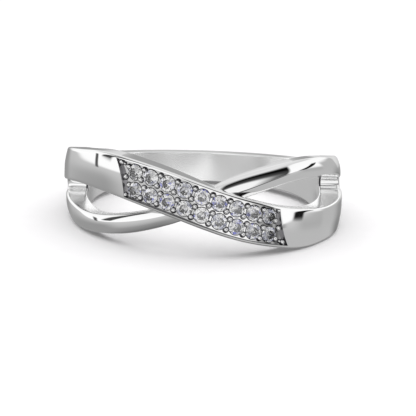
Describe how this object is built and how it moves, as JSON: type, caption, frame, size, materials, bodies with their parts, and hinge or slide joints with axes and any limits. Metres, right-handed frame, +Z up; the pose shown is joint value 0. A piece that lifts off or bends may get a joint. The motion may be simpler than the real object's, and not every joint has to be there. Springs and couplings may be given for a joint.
{
  "type": "crossover ring",
  "caption": "Finger ring lying on its side: a ribbon paved with small round stones crosses over a narrower plain ribbon, and both run together into a plain polished back band.",
  "frame": {"origin": "bottom centre of the box round the resting ring, on the surface that it lies on", "axes": "+Z up from that surface; the crossing of the ribbons faces -Y; +X to the right as seen from the front"},
  "size_m": [0.0206, 0.0206, 0.0066],
  "materials": {
    "polished_metal": "mirror polished white metal with a bright plating",
    "stones": "small round brilliants with metal grains between them"
  },
  "bodies": {
    "root": {"ring_band": "polished_metal", "pave": "stones"}
  },
  "joints": []
}
